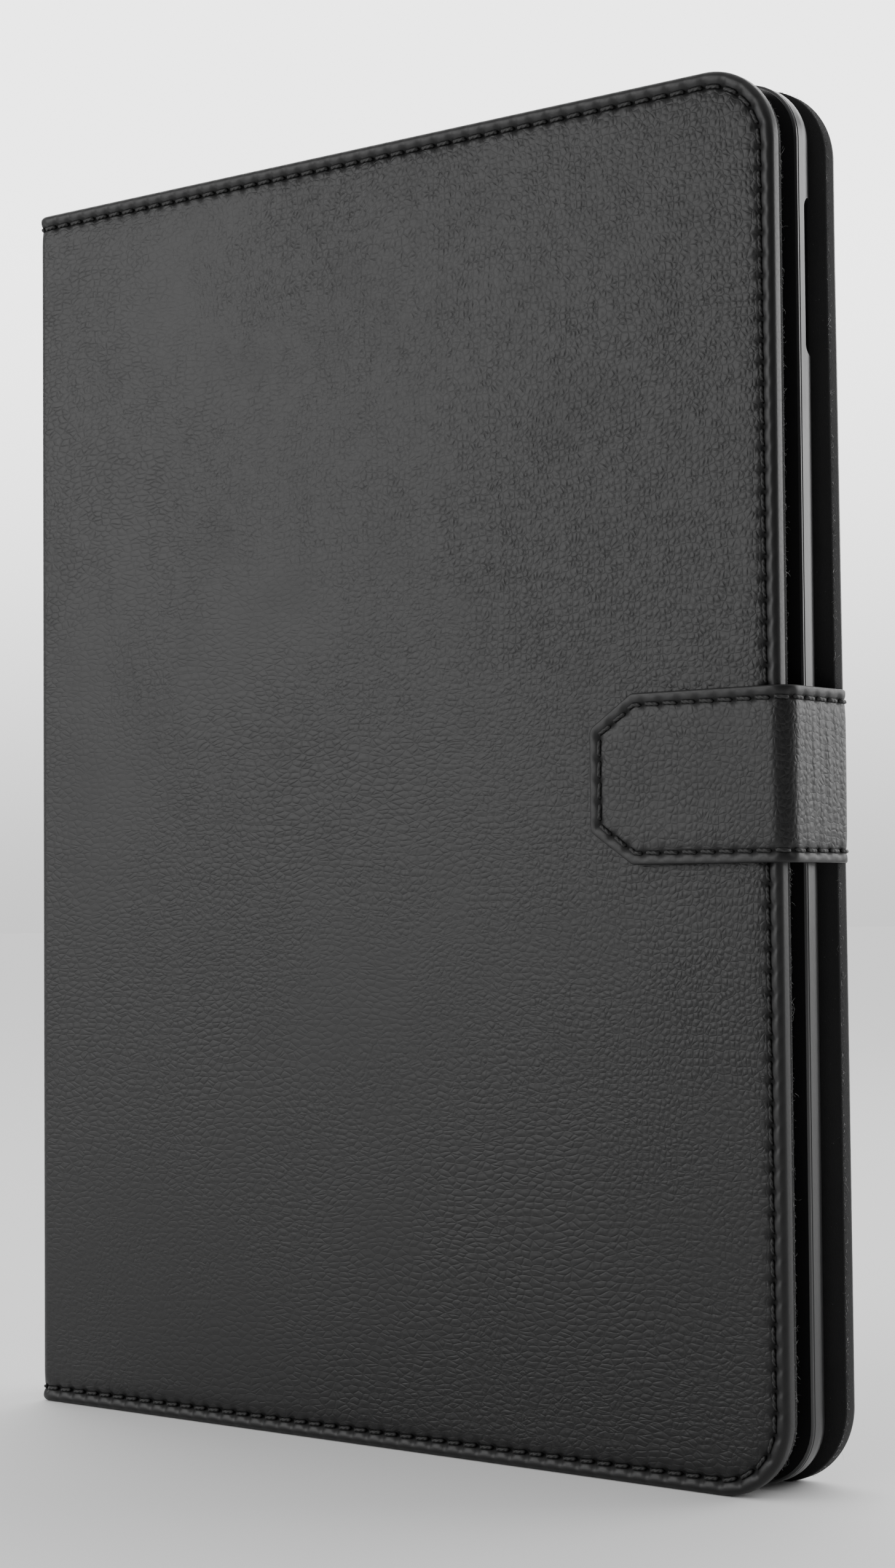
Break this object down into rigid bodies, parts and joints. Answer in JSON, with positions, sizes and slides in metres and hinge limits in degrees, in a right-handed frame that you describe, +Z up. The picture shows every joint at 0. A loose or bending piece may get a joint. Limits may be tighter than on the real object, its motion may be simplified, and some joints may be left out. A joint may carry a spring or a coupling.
{
  "type": "tablet case",
  "caption": "Folio tablet case with a grained leather cover, stitched edges, a hard inner tray and a magnetic strap that wraps round the opening edge.",
  "frame": {"origin": "middle of the footprint at the base: the centre of the overall box, strap included, on the surface that the closed case stands on", "axes": "+Z up along the case's height, +X from the spine to the opening edge, +Y from the front cover to the back cover"},
  "size_m": [0.1834, 0.023, 0.248],
  "materials": {
    "grained_leather": "embossed grain, satin",
    "board": "pressed fibre board",
    "microfibre": "soft nap",
    "thread": "waxed polyester thread",
    "tray_plastic": "smooth satin",
    "pad_adhesive": "adhesive foam",
    "magnet_steel": "nickel plated",
    "core_plastic": "stiffener"
  },
  "bodies": {
    "back_cover": {"back_leather": "grained_leather", "back_board": "board", "back_lining": "microfibre", "back_stitching": "thread", "strap_tail": "grained_leather", "strap_tail_stitching": "thread", "tablet_tray": "tray_plastic", "tray_rim": "tray_plastic", "tray_glue_pad": "pad_adhesive"},
    "spine": {"spine_leather": "grained_leather", "spine_board": "board", "spine_lining": "microfibre", "spine_stitching": "thread"},
    "front_cover": {"front_leather": "grained_leather", "front_board": "board", "front_lining": "microfibre", "front_stitching": "thread", "strap_catch_plate": "magnet_steel", "sleep_magnets": "magnet_steel"},
    "strap_side": {"strap_side_leather": "grained_leather", "strap_side_lining": "microfibre", "strap_side_stitching": "thread"},
    "strap_tab": {"strap_tab_leather": "grained_leather", "strap_tab_core": "core_plastic", "strap_tab_lining": "microfibre", "strap_tab_magnets": "magnet_steel", "strap_tab_stitching": "thread"}
  },
  "joints": [
    {"name": "back_hinge", "type": "hinge", "parent": "back_cover", "child": "spine", "pos_m": [-0.08983, 0.00967, 0.124], "axis": [0, 0, -1], "range_deg": [0, 180]},
    {"name": "front_hinge", "type": "hinge", "parent": "spine", "child": "front_cover", "pos_m": [-0.08977, -0.00777, 0.124], "axis": [0, 0, -1], "range_deg": [0, 180]},
    {"name": "strap_root_fold", "type": "hinge", "parent": "back_cover", "child": "strap_side", "pos_m": [0.09087, 0.01013, 0.124], "axis": [0, 0, 1], "range_deg": [0, 180]},
    {"name": "strap_tab_fold", "type": "hinge", "parent": "strap_side", "child": "strap_tab", "pos_m": [0.09087, -0.01073, 0.124], "axis": [0, 0, 1], "range_deg": [0, 90]}
  ]
}
